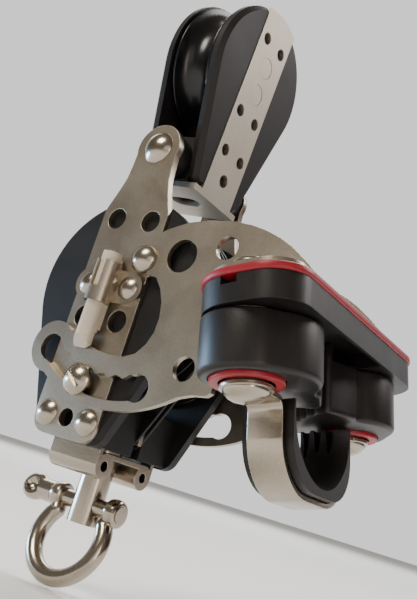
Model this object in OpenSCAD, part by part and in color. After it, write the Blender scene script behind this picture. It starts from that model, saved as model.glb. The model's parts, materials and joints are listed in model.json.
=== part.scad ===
// Crossed double and single sheave block with ratchet, swivelling cleat arm and bow shackle.
// Millimetres. X is the width of the lower block, Y its depth, Z runs up the line of load.
// The origin is the centre of the lower sheave axle.

/* [Lower block] */
// Width of the stainless side straps
strap_w = 15.2; // [12:0.2:20]
// Thickness of the side straps
strap_t = 1.5; // [1:0.1:2.5]
// Half the depth over the outer faces of the side straps
half_depth = 13.3; // [12:0.1:16]
// Radius of the round part of the lower cheeks
cheek_r = 17.8; // [17.4:0.1:20]
// Outer radius of the lower sheaves
sheave_r = 16.8; // [15:0.1:17.2]
// Radius of the round rope groove in the lower sheaves
groove_r = 3.5; // [2.5:0.1:3.8]
// Radius of the fixed hub the lower sheaves run around
hub_r = 6.4; // [6.2:0.1:7]
// Height of the cross pin above the lower axle
pin_z = 28.5; // [27:0.5:31]
// Radius of the cross pin
pin_r = 2.5; // [2:0.1:3]

/* [Upper block] */
// Height of the upper sheave axle above the lower axle
head_z = 51.3; // [50:0.1:56]
// Radius of the round part of the upper cheeks
head_r = 14.7; // [14.6:0.1:18]
// Outer radius of the upper sheave
head_sheave_r = 14.3; // [13:0.1:14.5]
// Lean of the upper block on its cross pin as modelled
head_lean = 3.4; // [0:0.1:6]

/* [Cleat arm] */
// Thickness of the arm plates
arm_t = 1.2; // [1:0.1:1.8]
// Radius from the arm pivot to the middle of the curved slot
slot_r = 23.8; // [23:0.1:25]
// Spacing of the two cleat screws
cleat_pitch = 38; // [36:0.5:40]
// Lean of the cleat from the line of load
cleat_lean = 15.7; // [10:0.1:20]
// Height of each cam
cam_h = 9.2; // [8:0.1:9.3]
// Reach of the cam nose from the cam axis
cam_reach = 15.6; // [14:0.1:16.2]

/* [Shackle] */
// Radius of the shackle wire
wire_r = 1.6; // [1.2:0.1:1.7]
// Radius of the shackle bow to the middle of the wire
bow_r = 7.3; // [7:0.1:9]
// Height of the shackle pin below the lower axle
shackle_z = 38.3; // [37.5:0.1:39]
// Swing of the shackle toward the front as modelled
shackle_lean = 17; // [0:1:30]

/* [Hidden] */
si = half_depth - strap_t;
ci = si - 2;
cheek_t = 2.7;
sheave_w = 8.3;
sheave_y = 5.45;
pivot = [6.8, 5.6];
stud_x = 1;
stud_z = -18;
arm_o = half_depth + 0.1 + arm_t;
arm_i = half_depth + 0.1;
pawl_pin = [-6.4, -5.2];
tap = [38.3, 0, -15.8];
cp = cleat_pitch / 2;
steel = [0.72, 0.7, 0.66];
bright = [0.82, 0.82, 0.8];
dark = [0.13, 0.13, 0.14];
black = [0.07, 0.07, 0.08];
red = [0.72, 0.1, 0.14];
bone = [0.86, 0.83, 0.75];

// Upright profile drawn in X and Z, given thickness from y0 to y1.
module slab(y0, y1) {
  translate([0, y1, 0])
    rotate([90, 0, 0])
      linear_extrude(height = y1 - y0)
        children();
}

// Round bar along Y.
module rod_y(r, y0, y1, x = 0, z = 0, f = 40) {
  translate([x, y1, z])
    rotate([90, 0, 0])
      cylinder(r = r, h = y1 - y0, $fn = f);
}

// Round bar along X.
module rod_x(r, x0, x1, y = 0, z = 0, f = 40) {
  translate([x0, y, z])
    rotate([0, 90, 0])
      cylinder(r = r, h = x1 - x0, $fn = f);
}

// Low dome standing out from y toward the side s.
module dome_y(r, h, y, s, x = 0, z = 0, f = 40) {
  n = 6;
  R = (r * r + h * h) / (2 * h);
  a = asin(min(1, r / R));
  pts = concat([[0, 0]], [for (i = [0:n]) [R * sin(a * (1 - i / n)), R * cos(a * (1 - i / n)) - R + h]]);
  translate([x, y, z])
    rotate([s < 0 ? 90 : -90, 0, 0])
      rotate_extrude($fn = f)
        polygon(pts);
}

function arc(cx, cz, r, a0, a1, n) = [for (i = [0:n]) [cx + r * cos(a0 + (a1 - a0) * i / n),
  cz + r * sin(a0 + (a1 - a0) * i / n)]];

// ---- lower block, fixed pieces ----

// Waisted outline of a side strap with a round head and a small ear at the arm pivot.
module strap_outline() {
  w = strap_w / 2;
  right = concat(
    arc(w - 3.2, -25.2, 3.2, -90, 0, 6),
    [[w, 13.6]],
    arc(w - 5, 14.2, 5, 0, 28, 4),
    [[5.9, 19.4]],
    [[5.1, 21.8]],
    [[4.8, 24.4]],
    arc(0, pin_z, 4.9, -18, 90, 10));
  left = [for (i = [len(right) - 1:-1:0]) [-right[i][0], right[i][1]]];
  polygon(concat(right, left));
  translate(pivot)
    circle(r = 2.9, $fn = 28);
}

module side_strap(s) {
  difference() {
    slab(s < 0 ? -half_depth : si, s < 0 ? -si : half_depth)
      strap_outline();
    rod_y(pin_r, -20, 20, 0, pin_z);
    for (x = [-4.1, 4.1]) {
      rod_y(2.06, -20, 20, x, 13.4, 36);
      rod_y(2.06, -20, 20, x, -6.2, 36);
    }
    for (x = [-4.75, 4.75])
      rod_y(1.2, -20, 20, x, 0, 28);
    for (x = [-4.85, 4.85])
      rod_y(1.45, -20, 20, x, -24.8, 28);
    rod_y(1.63, -20, 20, 0, -24.8, 32);
    rod_y(1.45, -20, 20, pivot[0], pivot[1], 28);
    rod_y(1.45, -20, 20, stud_x, stud_z, 28);
    translate([-0.9, -20, -1.2])
      cube([1.8, 40, 5.2]);
  }
}

module strap_front() {
  color(steel)
    side_strap(-1);
}

module strap_rear() {
  color(steel)
    side_strap(1);
}

// Plain plate running up the middle between the two sheaves.
module centre_strap() {
  color(steel)
    difference() {
      slab(-0.5, 0.5)
        polygon(concat([[-7.4, -25.6]], [[7.4, -25.6]], [[7.4, 9]], arc(0, 9, 7.4, 15, 165, 10), [[-7.4, 9]]));
      rod_y(hub_r, -2, 2, 0, 0, 48);
      for (x = [-4.85, 4.85])
        rod_y(1.45, -2, 2, x, -24.8, 28);
    }
}

// Teardrop cheek with its outer edge eased.
module cheek_body(s) {
  hull() {
    translate([0, s * ci, 0.5])
      rotate([s < 0 ? 90 : -90, 0, 0]) {
        cylinder(r = cheek_r, h = 1.9, $fn = 72);
        cylinder(r = cheek_r - 0.8, h = cheek_t, $fn = 72);
      }
    for (x = [-5.6, 5.6])
      translate([x, s * ci, -25.4])
        rotate([s < 0 ? 90 : -90, 0, 0]) {
          cylinder(r = 3, h = 1.9, $fn = 28);
          cylinder(r = 2.2, h = cheek_t, $fn = 28);
        }
  }
}

module side_cheek(s) {
  difference() {
    cheek_body(s);
    slab(s < 0 ? -half_depth : si, s < 0 ? -si : half_depth)
      offset(delta = 0.06)
        strap_outline();
    for (x = [-4.75, 4.75])
      rod_y(1.2, -20, 20, x, 0, 28);
    for (x = [-4.85, 4.85])
      rod_y(1.45, -20, 20, x, -24.8, 28);
    rod_y(1.45, -20, 20, pivot[0], pivot[1], 28);
    rod_y(1.45, -20, 20, stud_x, stud_z, 28);
    rod_y(1.63, s < 0 ? -si - 1 : ci + 0.8, s < 0 ? -ci - 0.8 : si + 1, 0, -24.8, 32);
    translate([-0.9, s < 0 ? -si - 1 : si - 0.4, -1.2])
      cube([1.8, 1.4, 5.2]);
    if (s < 0)
      rod_y(0.65, -10.9, -9, pawl_pin[0], pawl_pin[1], 24);
  }
}

module cheek_front() {
  color(dark)
    side_cheek(-1);
}

module cheek_rear() {
  color(dark)
    side_cheek(1);
}

module middle_cheek(y0, y1) {
  difference() {
    slab(y0, y1)
      hull() {
        translate([0, 0.5])
          circle(r = cheek_r, $fn = 72);
        for (x = [-4.4, 4.4])
          translate([x, -23.8])
            circle(r = 3, $fn = 28);
      }
    rod_y(hub_r, -2, 2, 0, 0, 48);
    for (x = [-4.85, 4.85])
      rod_y(1.45, -2, 2, x, -24.8, 28);
    translate([-4, -2, -30])
      cube([8, 4, 4.4]);
  }
}

module centre_cheek_front() {
  color(black)
    middle_cheek(-1.1, -0.5);
}

module centre_cheek_rear() {
  color(black)
    middle_cheek(0.5, 1.1);
}

// Filler below each sheave, hollowed for the swivel head and slit for the bracket leg.
module foot_spacer(s) {
  difference() {
    translate([-7, s < 0 ? -ci : 1.1, -28])
      cube([14, ci - 1.1, 9]);
    rod_y(17.4, -12, 12, 0, 0, 72);
    for (x = [-4.85, 4.85])
      rod_y(1.45, -20, 20, x, -24.8, 28);
    translate([0, 0, -28.6])
      cylinder(r = 3.7, h = 3, $fn = 40);
    translate([-5.85, s < 0 ? -8.35 : 7.25, -30])
      cube([11.7, 1.1, 8.05]);
  }
}

module foot_spacer_front() {
  color(black)
    foot_spacer(-1);
}

module foot_spacer_rear() {
  color(black)
    foot_spacer(1);
}

module hub() {
  color(steel)
    difference() {
      rod_y(hub_r, -ci, ci, 0, 0, 48);
      rod_y(2.4, -12, 12, 0, 0, 32);
      for (x = [-4.75, 4.75])
        rod_y(1.2, -20, 20, x, 0, 28);
    }
}

module rivets_mid() {
  color(bright)
    for (x = [-4.75, 4.75]) {
      rod_y(1.2, -half_depth - 0.8, half_depth, x, 0, 28);
      dome_y(2.25, 0.95, -half_depth - 0.8, -1, x, 0);
      dome_y(2.5, 1.3, half_depth, 1, x, 0);
    }
}

module rivets_foot() {
  color(bright)
    for (x = [-4.85, 4.85]) {
      rod_y(1.45, -half_depth, half_depth, x, -24.8, 28);
      dome_y(2.55, 1.1, -half_depth, -1, x, -24.8);
      dome_y(2.55, 1.1, half_depth, 1, x, -24.8);
    }
}

module cross_pin() {
  color(bright) {
    rod_y(pin_r, -half_depth, half_depth, 0, pin_z);
    dome_y(3.3, 1.6, -half_depth, -1, 0, pin_z, 48);
    dome_y(3.3, 1.6, half_depth, 1, 0, pin_z, 48);
  }
}

module pin_sleeve(y0, y1) {
  difference() {
    rod_y(4.5, y0, y1, 0, pin_z);
    rod_y(pin_r, -20, 20, 0, pin_z);
  }
}

module pin_sleeve_front() {
  color(black)
    pin_sleeve(-si, -8.4);
}

module pin_sleeve_rear() {
  color(black)
    pin_sleeve(8.4, si);
}

// Plate with a raised half-round tunnel that guides the switch bar.
module saddle() {
  yc = -half_depth - 2.15;
  color(bright)
    difference() {
      union() {
        slab(-half_depth - 0.8, -half_depth)
          hull() {
            for (x = [-4.75, 4.75])
              translate([x, 0])
                circle(r = 3.1, $fn = 36);
          }
        translate([0, yc, -3.9])
          cylinder(r = 2.4, h = 7.8, $fn = 40);
        translate([-2.4, yc, -3.2])
          cube([4.8, 1.5, 6.4]);
      }
      translate([0, yc, -6])
        cylinder(r = 1.9, h = 12, $fn = 40);
      translate([-1.9, yc, -6])
        cube([3.8, 1.35, 12]);
      translate([-4, -half_depth, -6])
        cube([8, 4, 12]);
      for (x = [-4.75, 4.75])
        rod_y(1.2, -20, 0, x, 0, 28);
      translate([-0.9, -20, -1.2])
        cube([1.8, 40, 5.2]);
    }
}

// Domed screw for the arm, shank toward the block.
module arm_screw(s, x, z, r, slot) {
  difference() {
    union() {
      rod_y(1.45, s < 0 ? -arm_o - 0.1 : ci + 0.1, s < 0 ? -ci - 0.1 : arm_o + 0.1, x, z, 28);
      rod_y(r, s < 0 ? -arm_o - 0.5 : arm_o + 0.06, s < 0 ? -arm_o - 0.06 : arm_o + 0.5, x, z);
      dome_y(r, 0.5 * r, s * (arm_o + 0.5), s, x, z);
    }
    if (slot)
      translate([x, s * (arm_o + 2.1), z])
        rotate([0, 40, 0])
          cube([8, 1.6, 0.7], center = true);
  }
}

module pivot_screws() {
  color(bright)
    for (s = [-1, 1])
      arm_screw(s, pivot[0], pivot[1], 2.6, false);
}

module slot_screws() {
  color(bright)
    for (s = [-1, 1])
      arm_screw(s, stud_x, stud_z, 2.9, true);
}

// Folded plate below the block with a rolled edge at front and rear.
module foot_bracket() {
  color(bright)
    difference() {
      union() {
        translate([-5.8, -5.9, -29.5])
          cube([11.6, 11.8, 1]);
        for (s = [-1, 1]) {
          rod_x(2.4, -5.8, 5.8, s * 5.9, -30.9, 40);
          translate([-5.8, s < 0 ? -8.3 : 7.3, -30.9])
            cube([11.6, 1, 8.9]);
        }
      }
      for (s = [-1, 1])
        rod_x(0.9, -7, 7, s * 5.9, -30.9, 36);
      for (x = [-4.85, 4.85])
        rod_y(1.45, -9, 9, x, -24.8, 28);
      translate([0, 0, -31])
        cylinder(r = 2.1, h = 4, $fn = 40);
    }
}

// ---- ratchet ----

module pawl_spring() {
  color(steel)
    for (y = [-8.12, -7.82])
      translate([pawl_pin[0], y, pawl_pin[1]])
        rotate([90, 0, 0])
          rotate_extrude($fn = 24)
            translate([0.82, 0])
              circle(r = 0.14, $fn = 14);
}

// Small dog that catches the teeth inside the front sheave.
module pawl() {
  color(bright)
    union() {
      slab(-9.6, -8.4)
        hull() {
          translate(pawl_pin)
            circle(r = 1.1, $fn = 24);
          translate([-9.25, -2])
            circle(r = 0.4, $fn = 20);
          translate([-8.3, -1.6])
            circle(r = 0.4, $fn = 20);
        }
      rod_y(0.6, -10.6, -7.65, pawl_pin[0], pawl_pin[1], 24);
    }
}

// Half-hidden sliding bar with a slanted lower end and a short stud through the strap.
module switch_bar() {
  yc = -half_depth - 2.15;
  color(bone)
    difference() {
      union() {
        translate([0, yc, -12.4])
          cylinder(r = 1.8, h = 18.1, $fn = 40);
        translate([-1.8, yc, -8.6])
          cube([3.6, 1.25, 13.4]);
        rod_y(0.7, yc, -si - 0.1, 0, -0.3, 24);
      }
      translate([-3, yc - 2.6, 5])
        rotate([35, 0, 0])
          cube([6, 3.4, 4]);
      translate([-3, yc + 0.3, -13])
        cube([6, 2, 3.8]);
      translate([-4, yc - 1.9, -10.2])
        rotate([-48, 0, 0])
          translate([0, 0, -4])
            cube([8, 6, 4]);
      translate([0.5, yc - 3, -12.6])
        rotate([0, -38, 0])
          translate([0, 0, -4])
            cube([5, 6, 4]);
    }
}

// ---- lower sheaves ----

// Half section of a sheave of width w with a round groove.
module sheave_section(R, w, gr, bore) {
  g = R + 0.35;
  a = asin(min(1, sqrt(gr * gr - (g - R) * (g - R)) / gr));
  polygon(concat(
    [[bore, -w / 2]],
    [[R - 0.5, -w / 2]],
    [[R, -w / 2 + 0.35]],
    [for (i = [0:14]) [g - gr * cos(-a + 2 * a * i / 14), gr * sin(-a + 2 * a * i / 14)]],
    [[R, w / 2 - 0.35]],
    [[R - 0.5, w / 2]],
    [[bore, w / 2]]));
}

module sheave_front() {
  color(dark)
    difference() {
      translate([0, -sheave_y, 0])
        rotate([90, 0, 0])
          rotate_extrude($fn = 80)
            sheave_section(sheave_r, sheave_w, groove_r, 9.5);
      rod_y(12.2, -10, -7.7, 0, 0, 60);
    }
}

module sheave_rear() {
  color(dark)
    difference() {
      translate([0, sheave_y, 0])
        rotate([90, 0, 0])
          rotate_extrude($fn = 80)
            sheave_section(sheave_r, sheave_w, groove_r, 9.5);
      rod_y(12.2, 8.3, 10, 0, 0, 60);
    }
}

// Ring with inward teeth, pressed into the side of the front sheave.
module ratchet_ring() {
  nt = 20;
  color(steel)
    slab(-9.3, -7.7)
      difference() {
        circle(r = 12.2, $fn = 60);
        polygon([for (i = [0:nt - 1], k = [0, 1]) let (a = i * 360 / nt + k * 3) [
          (k == 0 ? 10.1 : 11.2) * cos(a), (k == 0 ? 10.1 : 11.2) * sin(a)]]);
      }
}

// Ring of parallel rollers with two thin cage hoops.
module roller_ring(n, pr, rr, len, f = 16) {
  for (i = [0:n - 1])
    rotate([0, 0, i * 360 / n])
      translate([pr, 0, -len / 2])
        cylinder(r = rr, h = len, $fn = f);
  for (z = [-len / 2 - 0.2, len / 2 - 0.2])
    translate([0, 0, z])
      difference() {
        cylinder(r = pr + 0.5 * rr, h = 0.4, $fn = 48);
        translate([0, 0, -1])
          cylinder(r = pr - 0.5 * rr, h = 3, $fn = 48);
      }
}

module rollers_front() {
  color(bone)
    translate([0, -4.4, 0])
      rotate([90, 0, 0])
        roller_ring(14, 7.96, 1.45, 5.4);
}

module rollers_rear() {
  color(bone)
    translate([0, 4.9, 0])
      rotate([90, 0, 0])
        roller_ring(14, 7.96, 1.45, 5.8);
}

// ---- swivel and shackle ----

module swivel_post() {
  color(bright)
    difference() {
      union() {
        translate([0, 0, -28.4])
          cylinder(r = 3.3, h = 2, $fn = 40);
        translate([0, 0, -33])
          cylinder(r = 2.05, h = 5, $fn = 40);
        translate([0, 0, -41.9])
          cylinder(r = 2.9, h = 12.2, $fn = 44);
      }
      rod_x(wire_r + 0.06, -6, 6, 0, -shackle_z, 40);
    }
}

// Swings the shackle about its pin.
module at_shackle() {
  translate([0, 0, -shackle_z])
    rotate([-shackle_lean, 0, 0])
      children();
}

module shackle_lug(s) {
  translate([s * 5.5, 0, 0])
    rotate([0, s * 90, 0])
      rotate_extrude($fn = 44)
        polygon([[0, 0], [2.1, 0], [2.5, 0.4], [2.6, 1], [2.6, 1.7], [2.4, 2.3], [1.9, 2.6], [0, 2.6]]);
}

module shackle_bow() {
  a = 35;
  color(bright)
    at_shackle()
      difference() {
        union() {
          translate([0, 0, -7])
            rotate([90, 0, 0])
              rotate([0, 0, -180 - a])
                rotate_extrude(angle = 180 + 2 * a, $fn = 72)
                  translate([bow_r, 0])
                    circle(r = wire_r, $fn = 28);
          for (s = [-1, 1]) {
            shackle_lug(s);
            hull() {
              translate([s * bow_r * cos(a), 0, -7 + bow_r * sin(a)])
                sphere(r = wire_r, $fn = 28);
              translate([s * 6.8, 0, -0.4])
                sphere(r = 1.3, $fn = 28);
            }
          }
        }
        rod_x(wire_r, -12, 12, 0, 0, 40);
      }
}

// Screw pin with a shoulder and a flattened, dished grip.
module shackle_pin() {
  color(bright)
    at_shackle()
      difference() {
        union() {
          rod_x(wire_r, -11, 8.3, 0, 0, 40);
          rod_x(2.1, -11.4, -8.2, 0, 0, 36);
          translate([-13.6, 0, 0])
            scale([1.12, 1, 1])
              rotate([90, 0, 0])
                rotate_extrude($fn = 44)
                  polygon([[0, -1.2], [2, -1.2], [2.5, -0.8], [2.7, 0], [2.5, 0.8], [2, 1.2], [0, 1.2]]);
        }
        for (s = [-1, 1])
          translate([-13.8, s * 1.9, 0])
            sphere(r = 1.6, $fn = 36);
      }
}

// ---- cleat arm ----

// Scalloped curved slot about the arm pivot.
module arm_slot() {
  pts_o = arc(pivot[0], pivot[1], slot_r + 2.15, -128, -73, 16);
  pts_i = [for (i = [28:-1:0]) let (a = -128 + 2 * i, k = (i % 4 == 2) ? 0.5 : ((i % 4 == 0) ? -0.15 : 0.25))
    [pivot[0] + (slot_r - 1.9 - k) * cos(a), pivot[1] + (slot_r - 1.9 - k) * sin(a)]];
  polygon(concat(pts_o, pts_i));
  for (a = [-128, -72])
    translate([pivot[0] + (slot_r + 0.1) * cos(a), pivot[1] + (slot_r + 0.1) * sin(a)])
      circle(r = 2.5, $fn = 28);
}

module arm_outline() {
  px = pivot[0];
  pz = pivot[1];
  difference() {
    union() {
      translate(pivot)
        circle(r = 2.5, $fn = 32);
      translate([px - 14.6, pz - 18.7])
        circle(r = 4.9, $fn = 40);
      polygon(concat(
        [[4.3, 7.8]],
        [[5.6, 8.9]],
        [[9.7, 11.6]],
        [[14, 13.3]],
        [[18.5, 14.1]],
        [[23.6, 14.2]],
        [[27, 13.8]],
        [[30, 13.1]],
        [[33, 12]],
        [[35.6, 10.7]],
        [[38.6, 8.7]],
        [[41.2, 6.7]],
        [[43.6, 4.8]],
        [[25.2, -0.4]],
        [[28.9, -13.6]],
        [[28.9, -15.2]],
        [[28, -15.9]],
        [[25.4, -16.2]],
        [[22.8, -17.1]],
        arc(px, pz, 27.7, -57, -126, 20),
        arc(px, pz, 18.1, -126, -82, 12),
        [[11.6, -11.4]],
        [[13.2, -9.5]],
        [[14.1, -7.2]],
        [[14.2, -4.6]],
        [[13.6, -1.8]],
        [[12.4, 0.6]],
        [[10.7, 2.6]],
        [[8.6, 2.8]]));
    }
    arm_slot();
    translate(pivot)
      circle(r = 1.5, $fn = 32);
    translate([14.7, 7])
      circle(r = 3.1, $fn = 44);
    translate([22.4, -12.3])
      circle(r = 2.15, $fn = 36);
    translate([23.5, 9.3])
      circle(r = 2.15, $fn = 36);
  }
}

// Places things in the frame of the leaning cleat: X away from the block, Z along the cam axes.
module at_cleat() {
  translate(tap)
    rotate([0, -cleat_lean, 0])
      children();
}

module arm_plate(s) {
  difference() {
    union() {
      slab(s < 0 ? -arm_o : arm_i, s < 0 ? -arm_i : arm_o)
        arm_outline();
      at_cleat()
        translate([0, 0, 18.3])
          linear_extrude(height = arm_t)
            hull() {
              foot_outline(-1.5, s);
              translate([-7.4, s < 0 ? -arm_i - 0.5 : arm_i])
                square([17.4, 0.5]);
            }
    }
    at_cleat()
      translate([0, s * cp, 10])
        cylinder(r = 2.45, h = 14, $fn = 36);
  }
}

module arm_plate_front() {
  color(steel)
    arm_plate(-1);
}

module arm_plate_rear() {
  color(steel)
    arm_plate(1);
}

// Outline of the cleat foot, rounder on the side toward the block, let out by grow.
module foot_outline(grow, s) {
  translate([1, s * (cp - 0.2)])
    circle(r = 8.8 + grow, $fn = 56);
  translate([4.9, s * (cp + 1.9)])
    circle(r = 6.7 + grow, $fn = 56);
}

module cleat_foot(grow, z0, z1) {
  difference() {
    translate([0, 0, z0])
      linear_extrude(height = z1 - z0)
        hull() {
          foot_outline(grow, -1);
          foot_outline(grow, 1);
        }
    for (s = [-1, 1])
      translate([0, s * cp, z0 - 1])
        cylinder(r = 2.45, h = z1 - z0 + 2, $fn = 36);
  }
}

module cleat_pad() {
  color(red)
    at_cleat()
      cleat_foot(0, 17, 18.3);
}

module cleat_base() {
  color(black)
    at_cleat()
      difference() {
        cleat_foot(-0.35, 12.5, 17);
        for (s = [-1, 1])
          translate([0, s * cp, 12])
            difference() {
              cylinder(r = 7, h = 2.2, $fn = 48);
              translate([0, 0, -1])
                cylinder(r = 3.4, h = 4, $fn = 36);
            }
        translate([-4.3, -9, 12])
          cube([14.9, 18, 3.4]);
        translate([-0.8, -28.6, 15.6])
          cube([2.8, 3.5, 1.5]);
      }
}

// Domed screw from below each cam.
module cleat_screw(s) {
  at_cleat()
    translate([0, s * cp, 0]) {
      translate([0, 0, 1.4])
        cylinder(r = 2.45, h = 20.8, $fn = 36);
      translate([0, 0, 1.5])
        rotate([180, 0, 0])
          rotate_extrude($fn = 44)
            polygon([[0, 0], [3.7, 0], [3.55, 0.5], [3, 1.05], [2.2, 1.5], [1.2, 1.78], [0, 1.86]]);
    }
}

module cleat_screws() {
  color(bright)
    for (s = [-1, 1])
      cleat_screw(s);
}

// Low domed nut on top of each flange.
module cleat_nut(s) {
  at_cleat()
    translate([0, s * cp, 18.3 + arm_t])
      rotate_extrude($fn = 48)
        polygon([[2.45, 0], [4.34, 0], [4.3, 0.6], [4.1, 1.2], [3.8, 1.7], [3.6, 2.3], [3.2, 2.6], [2.45, 2.6]]);
}

module cleat_nuts() {
  color(bright)
    for (s = [-1, 1])
      cleat_nut(s);
}

module tube_z(r0, r1, z0, z1, s, f = 40) {
  at_cleat()
    translate([0, s * cp, 0])
      difference() {
        translate([0, 0, z0])
          cylinder(r = r1, h = z1 - z0, $fn = f);
        translate([0, 0, z0 - 1])
          cylinder(r = r0, h = z1 - z0 + 2, $fn = f);
      }
}

module cam_sleeve_front() {
  color(steel)
    tube_z(2.45, 3.3, 2.2, 12.5, -1);
}

module cam_sleeve_rear() {
  color(steel)
    tube_z(2.45, 3.3, 2.2, 12.5, 1);
}

module cam_rollers(s) {
  at_cleat()
    translate([0, s * cp, 7.6])
      roller_ring(12, 4.12, 0.8, 5.6, 14);
}

module cam_rollers_front() {
  color(bone)
    cam_rollers(-1);
}

module cam_rollers_rear() {
  color(bone)
    cam_rollers(1);
}

// Wound spring lying in the annular pocket above each cam.
module cam_spring(s) {
  at_cleat()
    translate([0, s * cp, 12.85])
      for (i = [0:1])
        translate([0, 0, 0.75 * i])
          rotate_extrude($fn = 40)
            translate([5.6, 0])
              circle(r = 0.35, $fn = 14);
}

module cam_spring_front() {
  color(steel)
    cam_spring(-1);
}

module cam_spring_rear() {
  color(steel)
    cam_spring(1);
}

module cam_ring_front() {
  color(red)
    tube_z(4.3, 5.8, 2.4, 3.6, -1, 48);
}

module cam_ring_rear() {
  color(red)
    tube_z(4.3, 5.8, 2.4, 3.6, 1, 48);
}

// Edge of the cam seen along its axis: round back, swelling toward the exit, nose and toothed rope side.
// The rope side lies toward +Y and its radius grows along a spiral toward the nose.
module cam_outline() {
  teeth = 9;
  a0 = 83;
  a1 = 150;
  grip = [for (i = [0:2 * teeth]) let (
    a = a0 + (a1 - a0) * i / (2 * teeth),
    r = cam_reach + 2.2 - (cam_reach - 6) * pow(i / (2 * teeth), 0.85) - (i % 2) * 0.7)
    [r * cos(a), r * sin(a)]];
  polygon(concat(
    arc(0, 0, 7.6, 190, 325, 16),
    arc(1.8, 3.4, 8.3, -34, 46, 12),
    [[6.5, 10.6]],
    [[6.9, 11.8]],
    arc(3.4, 16.5, 1.3, 15, 80, 4),
    grip));
}

// Cam with a blind pocket below for its ring and a through bore for its rollers.
module cam_body(s) {
  mirror([0, s < 0 ? 0 : 1, 0])
    difference() {
      union() {
        translate([0, 0, 3])
          linear_extrude(height = cam_h)
            cam_outline();
        translate([0, 0, 3])
          linear_extrude(height = cam_h + 2.8)
            difference() {
              cam_outline();
              circle(r = 14, $fn = 60);
              translate([5.2, 8])
                square([4, 12]);
            }
      }
      translate([0, 0, 2])
        cylinder(r = 4.97, h = 12, $fn = 44);
      translate([0, 0, 2])
        cylinder(r = 6, h = 1.7, $fn = 44);
    }
}

module cam_front() {
  color(black)
    at_cleat()
      translate([0, -cp, 0])
        cam_body(-1);
}

module cam_rear() {
  color(black)
    at_cleat()
      translate([0, cp, 0])
        cam_body(1);
}

// Solid U outline with upright sides at distance y up to the height top, from d0 to d1 along the rope.
module fairlead_band(d0, d1, y, r, top) {
  translate([d0, 0, 0])
    rotate([90, 0, 90])
      linear_extrude(height = d1 - d0)
        polygon(concat([[-y, top]], arc(r - y, r - y, r, 180, 270, 10),
          arc(y - r, r - y, r, 270, 360, 10), [[y, top]]));
}

// Band hung from the two cleat screws that carries the rope guide.
module fairlead_strap() {
  d0 = -3.4;
  d1 = 2.8;
  color(bright)
    at_cleat()
      difference() {
        union() {
          fairlead_band(d0, d1, 12.4, 9, 2.2);
          for (s = [-1, 1]) {
            translate([d0, s < 0 ? -cp : 11.2, 1.5])
              cube([d1 - d0, cp - 11.2, 0.7]);
            translate([0, s * cp, 1.5])
              cylinder(r = 4.2, h = 0.7, $fn = 44);
          }
        }
        fairlead_band(d0 - 1, d1 + 1, 11.2, 7.8, 4);
        for (s = [-1, 1])
          translate([0, s * cp, 0])
            cylinder(r = 2.45, h = 4, $fn = 36);
      }
}

// Moulded rope guide lining the band, its hole flaring toward the exit.
module fairlead_eye() {
  throat = 9.3;
  color(black)
    at_cleat()
      difference() {
        fairlead_band(-4.7, 4.2, 11.2, 7.8, 2.2);
        translate([0, 0, 0.8])
          rotate([0, 90, 0])
            rotate_extrude($fn = 72)
              polygon(concat(
                [[0, -9]],
                [for (i = [-9:7]) [throat + (i < 0 ? 0.035 : 0.09) * pow(abs(i), 1.9), i]],
                [[0, 7]]));
        translate([-9, -throat, 0.8])
          cube([16, 2 * throat, 4]);
        for (s = [-1, 1], d = [-3.4, -1.2, 1])
          translate([d, s < 0 ? -9 : 11, 0])
            rotate([90, 0, 0])
              linear_extrude(height = 2)
                polygon([[-0.8, 2.4], [0.8, 2.4], [0, -4]]);
      }
}

// ---- upper block ----

// Leans the upper block about the cross pin.
module at_head() {
  translate([0, 0, pin_z])
    rotate([0, head_lean, 0])
      translate([0, 0, -pin_z])
        children();
}

// One strap folded under the block: two sides and the floor between them.
module head_strap() {
  color(steel)
    at_head()
      difference() {
        union() {
          for (s = [-1, 1])
            intersection() {
              translate([s < 0 ? -7.1 : 5.9, -5.3, 24.6])
                cube([1.2, 10.6, 45]);
              rod_x(head_r - 0.05, -8, 8, 0, head_z, 80);
            }
          for (s = [-1, 1])
            translate([s < 0 ? -7.1 : 5.9, -5.3, 24])
              cube([1.2, 10.6, 21]);
          translate([-7.1, -7.6, 23.5])
            cube([14.2, 15.2, 1.2]);
        }
        hull() {
          for (x = [-1.5, 1.5])
            translate([x, 0, 20])
              cylinder(r = 2, h = 8, $fn = 32);
        }
        for (z = [head_z + 8.15, head_z - 8.2, head_z - 17], y = [-2.93, 2.93])
          rod_x(1.2, -9, 9, y, z, 24);
        rod_x(1.3, -9, 9, 0, head_z - 22.5, 24);
        for (z = [head_z - 3.04, head_z + 3.04])
          rod_x(2.15, -9, 9, 0, z, 28);
      }
}

// Upper cheek with its outer edge eased and a channel for the strap.
module head_cheek(s) {
  at_head()
    difference() {
      hull() {
        translate([s * 4.9, 0, head_z])
          rotate([0, s * 90, 0]) {
            cylinder(r = head_r, h = 1.1, $fn = 72);
            cylinder(r = head_r - 0.9, h = 2.05, $fn = 72);
          }
        for (y = [-6.3, 6.3])
          translate([s * 4.9, y, 26.8])
            rotate([0, s * 90, 0]) {
              cylinder(r = 2, h = 1.1, $fn = 28);
              cylinder(r = 1.2, h = 2.05, $fn = 28);
            }
      }
      translate([s < 0 ? -9 : 5.9, -5.3, 20])
        cube([3.1, 10.6, 60]);
      for (z = [head_z - 3.04, head_z + 3.04])
        rod_x(1.3, -9, 9, 0, z, 28);
    }
}

module head_cheek_right() {
  color(dark)
    head_cheek(1);
}

module head_cheek_left() {
  color(dark)
    head_cheek(-1);
}

module head_spacer() {
  color(black)
    at_head()
      difference() {
        translate([-4.9, -8.2, 24.8])
          cube([9.8, 16.4, 9]);
        rod_y(pin_r + 0.06, -20, 20, 0, pin_z);
      }
}

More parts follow.
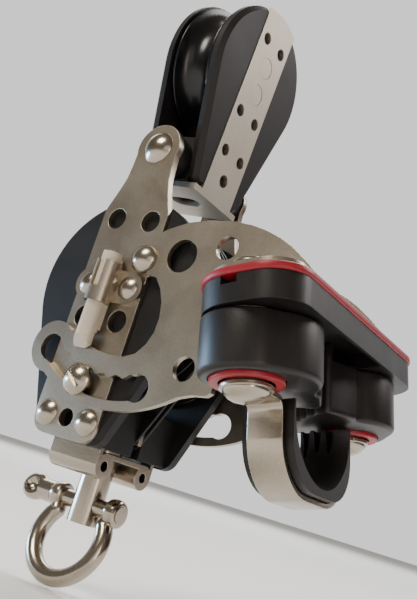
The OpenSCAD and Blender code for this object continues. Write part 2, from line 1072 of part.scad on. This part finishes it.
module head_hub() {
  color(steel)
    at_head()
      difference() {
        rod_x(5.2, -4.9, 4.9, 0, head_z, 44);
        for (z = [head_z - 3.04, head_z + 3.04])
          rod_x(1.3, -9, 9, 0, z, 28);
      }
}

module head_rivets() {
  color(bright)
    at_head()
      for (z = [head_z - 3.04, head_z + 3.04]) {
        rod_x(1.3, -6, 6, 0, z, 28);
        for (s = [-1, 1])
          rod_x(2.15, s < 0 ? -7.05 : 5.9, s < 0 ? -5.9 : 7.05, 0, z, 28);
      }
}

module head_sheave() {
  color(dark)
    at_head()
      translate([0, 0, head_z])
        rotate([0, 90, 0])
          rotate_extrude($fn = 80)
            sheave_section(head_sheave_r, 9.3, 3.9, 8.1);
}

module head_rollers() {
  color(bone)
    at_head()
      translate([0, 0, head_z])
        rotate([0, 90, 0])
          roller_ring(13, 6.65, 1.4, 7.6);
}

strap_front();
strap_rear();
centre_strap();
cheek_front();
cheek_rear();
centre_cheek_front();
centre_cheek_rear();
foot_spacer_front();
foot_spacer_rear();
hub();
rivets_mid();
rivets_foot();
cross_pin();
pin_sleeve_front();
pin_sleeve_rear();
saddle();
pivot_screws();
slot_screws();
foot_bracket();
pawl_spring();
pawl();
switch_bar();
sheave_front();
ratchet_ring();
rollers_front();
sheave_rear();
rollers_rear();
swivel_post();
shackle_bow();
shackle_pin();
arm_plate_front();
arm_plate_rear();
cleat_pad();
cleat_base();
cleat_screws();
cleat_nuts();
cam_sleeve_front();
cam_sleeve_rear();
cam_rollers_front();
cam_rollers_rear();
cam_spring_front();
cam_spring_rear();
cam_ring_front();
cam_ring_rear();
cam_front();
cam_rear();
fairlead_strap();
fairlead_eye();
head_strap();
head_cheek_right();
head_cheek_left();
head_spacer();
head_hub();
head_rivets();
head_sheave();
head_rollers();
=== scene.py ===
"""Swivelling ratchet block with a cam cleat arm: materials, pieces, light and camera round the CAD frame."""

import json
import math

import bmesh
import bpy
from mathutils import Matrix, Vector


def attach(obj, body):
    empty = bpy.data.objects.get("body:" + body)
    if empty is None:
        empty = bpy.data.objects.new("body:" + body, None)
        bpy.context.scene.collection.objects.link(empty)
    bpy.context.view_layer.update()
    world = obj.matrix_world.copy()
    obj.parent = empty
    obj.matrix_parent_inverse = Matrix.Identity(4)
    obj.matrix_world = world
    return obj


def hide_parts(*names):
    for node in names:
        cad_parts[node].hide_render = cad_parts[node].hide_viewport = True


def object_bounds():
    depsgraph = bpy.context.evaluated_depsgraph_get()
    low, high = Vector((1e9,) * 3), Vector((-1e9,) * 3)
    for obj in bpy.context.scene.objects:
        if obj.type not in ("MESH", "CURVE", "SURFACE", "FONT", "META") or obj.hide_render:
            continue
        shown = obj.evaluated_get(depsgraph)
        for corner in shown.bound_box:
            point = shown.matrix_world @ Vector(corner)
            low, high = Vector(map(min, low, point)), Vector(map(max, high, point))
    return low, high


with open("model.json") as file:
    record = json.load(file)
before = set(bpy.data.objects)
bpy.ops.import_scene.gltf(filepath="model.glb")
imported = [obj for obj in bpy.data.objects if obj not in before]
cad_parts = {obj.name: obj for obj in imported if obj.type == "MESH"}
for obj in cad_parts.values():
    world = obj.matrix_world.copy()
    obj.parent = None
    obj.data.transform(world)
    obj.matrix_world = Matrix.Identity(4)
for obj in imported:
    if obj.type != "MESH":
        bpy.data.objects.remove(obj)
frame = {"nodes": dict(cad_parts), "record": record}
nodes = frame["nodes"]
cad_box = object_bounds()
MM = 0.001


# ---- materials ----


def new_material(name, color, metallic=0.0, roughness=0.5, **sockets):
    """A Principled material with its constants on the shader's own sockets."""
    material = bpy.data.materials.new(name)
    material.use_nodes = True
    shader = material.node_tree.nodes["Principled BSDF"]
    shader.inputs["Base Color"].default_value = (*color, 1)
    shader.inputs["Metallic"].default_value = metallic
    shader.inputs["Roughness"].default_value = roughness
    for socket, value in sockets.items():
        shader.inputs[socket.replace("_", " ")].default_value = value
    return material, material.node_tree, shader


def noise(tree, scale, detail=3.0, stretch=(1, 1, 1), rough=0.55):
    """Object-space noise, its size set by scale per metre."""
    coords = tree.nodes.new("ShaderNodeTexCoord")
    mapping = tree.nodes.new("ShaderNodeMapping")
    mapping.inputs["Scale"].default_value = stretch
    tex = tree.nodes.new("ShaderNodeTexNoise")
    tex.inputs["Scale"].default_value = scale
    tex.inputs["Detail"].default_value = detail
    tex.inputs["Roughness"].default_value = rough
    tree.links.new(coords.outputs["Object"], mapping.inputs["Vector"])
    tree.links.new(mapping.outputs["Vector"], tex.inputs["Vector"])
    return tex.outputs["Fac"]


def ramp(tree, fac, stops):
    """A colour ramp of (position, colour) stops; a number stands for a grey."""
    node = tree.nodes.new("ShaderNodeValToRGB")
    elements = node.color_ramp.elements
    while len(elements) < len(stops):
        elements.new(0.5)
    for element, (position, color) in zip(elements, stops):
        element.position = position
        element.color = (color, color, color, 1) if isinstance(color, (int, float)) else (*color, 1)
    tree.links.new(fac, node.inputs["Fac"])
    return node.outputs["Color"]


def mix(tree, fac, a, b, blend="MIX"):
    """Mixes two colours, each a link or a plain colour, by fac."""
    node = tree.nodes.new("ShaderNodeMix")
    node.data_type = "RGBA"
    node.blend_type = blend
    factor, first, second = node.inputs[0], node.inputs[6], node.inputs[7]
    for socket, value in ((factor, fac), (first, a), (second, b)):
        if isinstance(value, bpy.types.NodeSocket):
            tree.links.new(value, socket)
        elif isinstance(value, (int, float)):
            socket.default_value = value
        else:
            socket.default_value = (*value, 1)
    return node.outputs[2]


def bump(tree, shader, height, strength, distance):
    node = tree.nodes.new("ShaderNodeBump")
    node.inputs["Strength"].default_value = strength
    node.inputs["Distance"].default_value = distance
    tree.links.new(height, node.inputs["Height"])
    tree.links.new(node.outputs["Normal"], shader.inputs["Normal"])


def steel_material(name, color, shade, rough, grain=(1, 1, 1), marks=0.35):
    """Stainless steel: cloudy tone, uneven polish and fine handling marks."""
    material, tree, shader = new_material(name, color, metallic=1.0, roughness=rough[0])
    cloud = noise(tree, 90, 3, grain)
    fine = noise(tree, 3200, 4, grain)
    tone = mix(tree, ramp(tree, mix(tree, 0.5, cloud, fine), [(0.35, 0.0), (0.68, 1.0)]), color, shade)
    tree.links.new(tone, shader.inputs["Base Color"])
    polish = ramp(tree, mix(tree, marks, cloud, fine), [(0.3, rough[0]), (0.7, rough[1])])
    tree.links.new(polish, shader.inputs["Roughness"])
    bump(tree, shader, fine, 0.12, 0.00004)
    return material


def plastic_material(name, color, worn, rough, grain_size, grain_depth, **sockets):
    """Moulded plastic: fine grain, patchy sheen and paler rubbed spots."""
    material, tree, shader = new_material(name, color, roughness=rough[0], **sockets)
    cloud = noise(tree, 90, 5)
    grain = noise(tree, grain_size, 2, rough=0.4)
    rubbed = ramp(tree, mix(tree, 0.4, cloud, grain), [(0.45, 0.0), (0.8, 1.0)])
    tree.links.new(mix(tree, rubbed, color, worn), shader.inputs["Base Color"])
    tree.links.new(ramp(tree, cloud, [(0.3, rough[0]), (0.7, rough[1])]), shader.inputs["Roughness"])
    bump(tree, shader, grain, 0.35, grain_depth)
    return material


SATIN = steel_material("satin_steel", (0.36, 0.315, 0.25), (0.46, 0.41, 0.335), (0.30, 0.40))
HEAD = steel_material("head_steel", (0.44, 0.40, 0.34), (0.52, 0.48, 0.41), (0.46, 0.58))
BRIGHT = steel_material("polished_steel", (0.36, 0.315, 0.25), (0.47, 0.42, 0.35), (0.17, 0.28))
CHEEK = plastic_material(
    "cheek_plastic", (0.005, 0.0045, 0.0046), (0.009, 0.008, 0.008),
    (0.44, 0.58), 2600, 0.00004, Specular_IOR_Level=0.34
)
SHEAVE = plastic_material(
    "sheave_plastic", (0.004, 0.004, 0.005), (0.007, 0.007, 0.008),
    (0.20, 0.30), 1800, 0.00001, Specular_IOR_Level=0.4
)
CLEAT = plastic_material(
    "cleat_plastic", (0.007, 0.0058, 0.0058), (0.012, 0.010, 0.0098),
    (0.34, 0.46), 3000, 0.00004, Specular_IOR_Level=0.4
)
RED = plastic_material("red_plastic", (0.26, 0.005, 0.015), (0.33, 0.009, 0.022), (0.34, 0.46), 1600, 0.00003)
BONE = plastic_material("roller_plastic", (0.62, 0.58, 0.48), (0.7, 0.67, 0.58), (0.3, 0.4), 1600, 0.00002)
SWITCH = plastic_material("switch_plastic", (0.50, 0.44, 0.34), (0.60, 0.54, 0.43), (0.42, 0.55), 1500, 0.00003)

SLOT_MATERIAL = {
    "satin_steel": SATIN,
    "head_steel": HEAD,
    "polished_steel": BRIGHT,
    "cheek_plastic": CHEEK,
    "sheave_plastic": SHEAVE,
    "cleat_plastic": CLEAT,
    "red_plastic": RED,
    "roller_plastic": BONE,
    "switch_plastic": SWITCH,
}
slot_of = {s["node"]: s["material_slot"] for s in frame["record"]["subparts"]}


# Width in millimetres by which a node's edges are rounded; the others take SMALL_BEVEL_MM.
SMALL_BEVEL_MM = 0.15
BEVEL_MM = {
    "cleat_base": 0.45,
    "cleat_pad": 0.4,
    "head_strap": 0.35,
    "switch_bar": 0.2,
    "foot_bracket": 0.12,
    "cheek_front": 0.3,
    "cheek_rear": 0.3,
    "head_cheek_right": 0.5,
    "head_cheek_left": 0.5,
    "fairlead_eye": 0.3,
}


def ease(obj, width_mm, segments=3):
    """Rounds the edges of a piece and shades its flat faces flat."""
    weld = obj.modifiers.new("weld", "WELD")
    weld.merge_threshold = 2e-6
    flats = obj.modifiers.new("flats", "DECIMATE")
    flats.decimate_type = "DISSOLVE"
    flats.angle_limit = math.radians(0.6)
    edge = obj.modifiers.new("edge", "BEVEL")
    edge.width = width_mm * MM
    edge.segments = segments
    edge.limit_method = "ANGLE"
    edge.angle_limit = math.radians(35)
    edge.use_clamp_overlap = True
    shade = obj.modifiers.new("shade", "WEIGHTED_NORMAL")
    shade.mode = "FACE_AREA"
    shade.weight = 60
    shade.keep_sharp = False


def finish_node(name):
    """Gives a CAD node its material and eases its edges."""
    obj = nodes[name]
    material = SLOT_MATERIAL[slot_of[name]]
    obj.data.materials.clear()
    obj.data.materials.append(material)
    for attribute in ("custom_normal", "sharp_edge", "sharp_face"):
        if attribute in obj.data.attributes:
            obj.data.attributes.remove(obj.data.attributes[attribute])
    for polygon in obj.data.polygons:
        polygon.material_index = 0
        polygon.use_smooth = True
    ease(obj, BEVEL_MM.get(name, SMALL_BEVEL_MM), 3 if name in BEVEL_MM else 2)


for node_name in nodes:
    finish_node(node_name)


# ---- pieces built here in place of CAD nodes ----

# The cleat's pieces are drawn in millimetres in its own leaning frame: X away from the block, Z along the cams.
CLEAT_PLACE = Matrix.Translation((38.3, 0, -15.8)) @ Matrix.Rotation(math.radians(-15.7), 4, "Y")
CAM_AXIS_Y = 19.0
CAM_FOOT, CAM_TOP, NOSE_TOP = 3.0, 12.2, 15.0
# The raised nose is the part of the cam beyond this radius and short of this reach in X.
NOSE_START = 14.0
NOSE_SIDE = 5.1
CAM_BORE = 4.97
RING_POCKET = 6.0
SCREW_R = 2.45
SCREW_END = 22.2


def arc(cx, cy, radius, start, end, steps):
    """Points along an arc, in degrees."""
    angles = [math.radians(start + (end - start) * i / steps) for i in range(steps + 1)]
    return [(cx + radius * math.cos(a), cy + radius * math.sin(a)) for a in angles]


def inset_loop(points, amount, weights):
    """The counter-clockwise loop moved inward by amount, less where the weight is small."""
    moved = []
    count = len(points)
    for i, (x, y) in enumerate(points):
        before, after = points[i - 1], points[(i + 1) % count]
        tangent = Vector((after[0] - before[0], after[1] - before[1])).normalized()
        step = amount * weights[i]
        moved.append((x - tangent.y * step, y + tangent.x * step))
    return moved


def ring_of(bm, points, z):
    return [bm.verts.new((x, y, z)) for x, y in points]


def skin(bm, lower, upper):
    count = len(lower)
    for i in range(count):
        bm.faces.new((lower[i], lower[(i + 1) % count], upper[(i + 1) % count], upper[i]))


def cap(bm, *rings):
    """Fills a flat face bounded by one ring, with any further rings as holes in it."""
    edges = []
    for ring in rings:
        for i, vert in enumerate(ring):
            pair = (vert, ring[(i + 1) % len(ring)])
            edges.append(bm.edges.get(pair) or bm.edges.new(pair))
    bmesh.ops.triangle_fill(bm, use_beauty=True, edges=edges)


def rounded_prism(bm, outline, z0, z1, low, high, weights=None, hole=None, steps=5):
    """An upright prism with its lower and upper edges rounded, and perhaps a round hole through it."""
    weights = weights or [1.0] * len(outline)
    rings = []
    for i in range(steps + 1):
        a = math.radians(90 * i / steps)
        rings.append((inset_loop(outline, low * (1 - math.sin(a)), weights), z0 + low * (1 - math.cos(a))))
    for i in range(steps + 1):
        a = math.radians(90 * i / steps)
        rings.append((inset_loop(outline, high * (1 - math.cos(a)), weights), z1 - high * (1 - math.sin(a))))
    made = [ring_of(bm, points, z) for points, z in rings]
    for lower, upper in zip(made, made[1:]):
        skin(bm, lower, upper)
    if hole:
        bores = []
        for radius, z in hole:
            bores.append(ring_of(bm, arc(0, 0, radius, 0, 352.5, 47), z))
        for lower, upper in zip(bores, bores[1:]):
            skin(bm, lower, upper)
        cap(bm, made[0], bores[0])
        cap(bm, made[-1], bores[-1])
    else:
        cap(bm, made[0])
        cap(bm, made[-1])


def revolve(bm, profile, place=(0, 0, 0), steps=48):
    """A body turned about Z from (radius, height) points; a radius of zero closes an end."""
    rings = []
    for radius, height in profile:
        if radius == 0:
            rings.append([bm.verts.new((place[0], place[1], place[2] + height))])
        else:
            loop = arc(place[0], place[1], radius, 0, 360 - 360 / steps, steps - 1)
            rings.append(ring_of(bm, loop, place[2] + height))
    for lower, upper in zip(rings, rings[1:]):
        if len(lower) == 1 or len(upper) == 1:
            tip, loop = (lower[0], upper) if len(lower) == 1 else (upper[0], lower)
            for i in range(len(loop)):
                bm.faces.new((tip, loop[i], loop[(i + 1) % len(loop)]))
        else:
            skin(bm, lower, upper)


def make_piece(name, bm, place, body, slot_name, *replaced, crease_deg=38):
    """Turns a mesh drawn in millimetres into a piece that rides on a body in place of CAD nodes."""
    bmesh.ops.recalc_face_normals(bm, faces=bm.faces)
    bm.transform(Matrix.Scale(MM, 4) @ place)
    mesh = bpy.data.meshes.new(name)
    bm.to_mesh(mesh)
    bm.free()
    for polygon in mesh.polygons:
        polygon.use_smooth = True
    mesh.set_sharp_from_angle(angle=math.radians(crease_deg))
    mesh.materials.append(SLOT_MATERIAL[slot_name])
    obj = bpy.data.objects.new(name, mesh)
    bpy.context.collection.objects.link(obj)
    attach(obj, body)
    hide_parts(*replaced)
    return obj


def cam_loop():
    """The cam's edge about its own axis, nose up, counter-clockwise, with a rounding weight for each point."""
    teeth = 9
    reach = 15.6
    body = arc(0, 0, 7.6, 190, 325, 24) + arc(1.8, 3.4, 8.3, -34, 46, 22)
    step = [(6.75, 10.25), (6.5, 10.75), (6.75, 11.3), (6.88, 11.9)]
    nose = arc(3.4, 16.5, 1.3, 15, 80, 6)
    grip = []
    for i in range(2 * teeth + 1):
        a = math.radians(83 + 67 * i / (2 * teeth))
        radius = reach + 2.2 - (reach - 6) * (i / (2 * teeth)) ** 0.85 - (i % 2) * 0.7
        grip.append((radius * math.cos(a), radius * math.sin(a)))
    points = body + step + nose + grip
    weights = [1.0] * len(body) + [0.5] * len(step) + [0.45] * len(nose) + [0.3] * len(grip)
    return points, weights


def build_cam(side, name):
    """One cam: a full rounded lower edge, a toothed rope side and a nose that rises into the foot."""
    points, weights = cam_loop()
    bm = bmesh.new()
    pocket_top = CAM_FOOT + 0.7
    bores = [(RING_POCKET, CAM_FOOT), (RING_POCKET, pocket_top), (CAM_BORE, pocket_top), (CAM_BORE, CAM_TOP)]
    rounded_prism(bm, points, CAM_FOOT, CAM_TOP, 0.95, 0.35, weights, hole=bores)
    tip = [p for p in points if math.hypot(*p) >= NOSE_START and p[0] <= NOSE_SIDE]
    rounded_prism(bm, tip, CAM_TOP - 0.2, NOSE_TOP, 0.05, 0.4, [0.6] * len(tip))
    flip = Matrix.Diagonal((1, -side, 1, 1))
    place = CLEAT_PLACE @ Matrix.Translation((0, side * CAM_AXIS_Y, 0)) @ flip
    make_piece(name + "_piece", bm, place, name, "cleat_plastic", name)


build_cam(-1, "cam_front")
build_cam(1, "cam_rear")


def guide_band():
    """The bent strap below the cleat: round tabs under the screws, a soft bend and a U below."""
    d0, d1, half = -3.4, 2.8, 0.5
    # Half of the band's middle line, from the screw tab down to the bottom of the U.
    drop = [(-18.0, 1.85), (-14.2, 1.85)] + arc(-13.6, 0.15, 1.7, 98, 0, 8) + [(-11.8, -1.0), (-11.8, -4.0)]
    bottom = arc(-3.4, -3.4, 8.4, 180, 270, 14)
    line = drop + [p for p in bottom if p[1] < -4.2]
    line = line + [(-y, h) for y, h in reversed(line)]
    left, right = [], []
    for i, (y, h) in enumerate(line):
        before, after = line[max(i - 1, 0)], line[min(i + 1, len(line) - 1)]
        tangent = Vector((after[0] - before[0], after[1] - before[1])).normalized()
        left.append((y - tangent.y * half, h + tangent.x * half))
        right.append((y + tangent.y * half, h - tangent.x * half))
    bm = bmesh.new()
    rounded_prism(bm, right + left[::-1], d0, d1, 0.2, 0.2, steps=3)
    turn = Matrix(((0, 0, 1, 0), (1, 0, 0, 0), (0, 1, 0, 0), (0, 0, 0, 1)))
    bm.transform(turn)
    for side in (-1, 1):
        ring = [(2.47, 1.5), (4.0, 1.5), (4.2, 1.62), (4.2, 2.1), (4.05, 2.2), (2.47, 2.2), (2.47, 1.5)]
        revolve(bm, ring, (0, side * CAM_AXIS_Y, 0))
    make_piece("guide_band", bm, CLEAT_PLACE, "arm", "polished_steel", "fairlead_strap")


guide_band()


def clamp_screws():
    """Two domed screws with a rolled thread showing above the nuts."""
    bm = bmesh.new()
    head = [(0, -0.36), (1.2, -0.28), (2.2, 0.0), (3.0, 0.45), (3.5, 0.95), (3.7, 1.4), (3.7, 1.5), (SCREW_R, 1.5)]
    thread = [(SCREW_R, 17.5)]
    height = 17.6
    while height < 21.6:
        thread += [(2.42, height), (2.12, height + 0.28), (2.42, height + 0.56)]
        height += 0.7
    end = [(2.2, SCREW_END - 0.2), (1.5, SCREW_END), (0, SCREW_END)]
    for side in (-1, 1):
        revolve(bm, head + thread + end, (0, side * CAM_AXIS_Y, 0), 40)
    make_piece("clamp_screws", bm, CLEAT_PLACE, "arm", "polished_steel", "cleat_screws")


clamp_screws()


# ---- floor, light and camera ----

low = cad_box[0]
FLOOR_GAP = 0.5 * MM
floor_z = low[2] - FLOOR_GAP
bpy.ops.mesh.primitive_plane_add(size=40, location=(0, 0, floor_z))
floor = bpy.context.object
floor.name = "floor"
floor_material = new_material("floor", (0.9, 0.9, 0.9), roughness=0.85)[0]
floor.data.materials.append(floor_material)

# The room: pale behind the block and behind the camera, dim and warm in front, dark red to the right.
world = bpy.data.worlds.new("studio")
bpy.context.scene.world = world
world.use_nodes = True
sky = world.node_tree
direction = sky.nodes.new("ShaderNodeTexCoord").outputs["Generated"]


def toward(way, stops):
    """A ramp over how far a direction points along way."""
    dot = sky.nodes.new("ShaderNodeVectorMath")
    dot.operation = "DOT_PRODUCT"
    sky.links.new(direction, dot.inputs[0])
    dot.inputs[1].default_value = Vector(way).normalized()
    half = sky.nodes.new("ShaderNodeMath")
    half.operation = "MULTIPLY_ADD"
    half.inputs[1].default_value = 0.5
    half.inputs[2].default_value = 0.5
    sky.links.new(dot.outputs["Value"], half.inputs[0])
    return ramp(sky, half.outputs["Value"], stops)


ROOM = (0.20, 0.172, 0.140)
RED_SIDE = (0.085, 0.035, 0.032)
PALE = (1.05, 1.05, 1.05)
room = mix(sky, toward((0.6, 0.74, 0.15), [(0.80, 0.0), (0.92, 1.0)]), ROOM, RED_SIDE)
room = mix(sky, toward((-0.7, -0.25, -0.65), [(0.82, 0.0), (0.97, 1.0)]), room, (0.20, 0.36, 0.62))
room = mix(sky, toward((-0.577, 0.787, 0.15), [(0.76, 0.0), (0.82, 1.0)]), room, PALE)
room = mix(sky, toward((0.7, -0.7, 0.05), [(0.95, 0.0), (0.97, 1.0)]), room, PALE)
sky.links.new(room, sky.nodes["Background"].inputs["Color"])
sky.nodes["Background"].inputs["Strength"].default_value = 1.0


def area_light(name, place, target, size, power, color):
    data = bpy.data.lights.new(name, "AREA")
    data.shape = "RECTANGLE"
    data.size, data.size_y = size
    data.energy = power
    data.color = color
    light = bpy.data.objects.new(name, data)
    bpy.context.collection.objects.link(light)
    light.location = place
    light.rotation_euler = (Vector(target) - Vector(place)).to_track_quat("-Z", "Y").to_euler()
    return light


centre = (0.012, 0, 0.005)
area_light("key", (-0.10, -0.45, 0.45), centre, (0.22, 0.22), 3.4, (1.0, 0.93, 0.82))
area_light("window", (-0.34, -0.10, -0.046), (0, 0, -0.01), (0.16, 0.06), 1.3, (0.42, 0.68, 1.0))
area_light("backdrop", (-0.9, 1.1, 1.2), (-0.9, 1.3, 0), (1.6, 1.6), 32.0, (1.0, 1.0, 1.0))
area_light("rim", (0.30, 0.35, 0.45), centre, (0.25, 0.25), 2.2, (1.0, 0.97, 0.94))
area_light("side", (0.45, -0.30, 0.05), centre, (0.05, 0.25), 0.35, (1.0, 0.75, 0.62))

# The camera stands level with the foot of the block, to its front right, and looks slightly up.
CAMERA_PLACE = Vector((104.0, -125.1, -30.8)) * MM
CAMERA_LOOK = Vector((-0.577, 0.787, 0.219)).normalized()
CAMERA_RIGHT = Vector((0.808, 0.511, 0.294))
FOCAL_MM = 50.9
camera_data = bpy.data.cameras.new("camera")
camera_data.lens = FOCAL_MM
camera_data.sensor_width = 36
camera_data.sensor_fit = "AUTO"
camera_data.clip_start = 0.005
camera = bpy.data.objects.new("camera", camera_data)
bpy.context.collection.objects.link(camera)
bpy.context.scene.camera = camera
right = (CAMERA_RIGHT - CAMERA_RIGHT.dot(CAMERA_LOOK) * CAMERA_LOOK).normalized()
up = right.cross(CAMERA_LOOK)
camera.matrix_world = Matrix.Translation(CAMERA_PLACE) @ Matrix((right, up, -CAMERA_LOOK)).transposed().to_4x4()
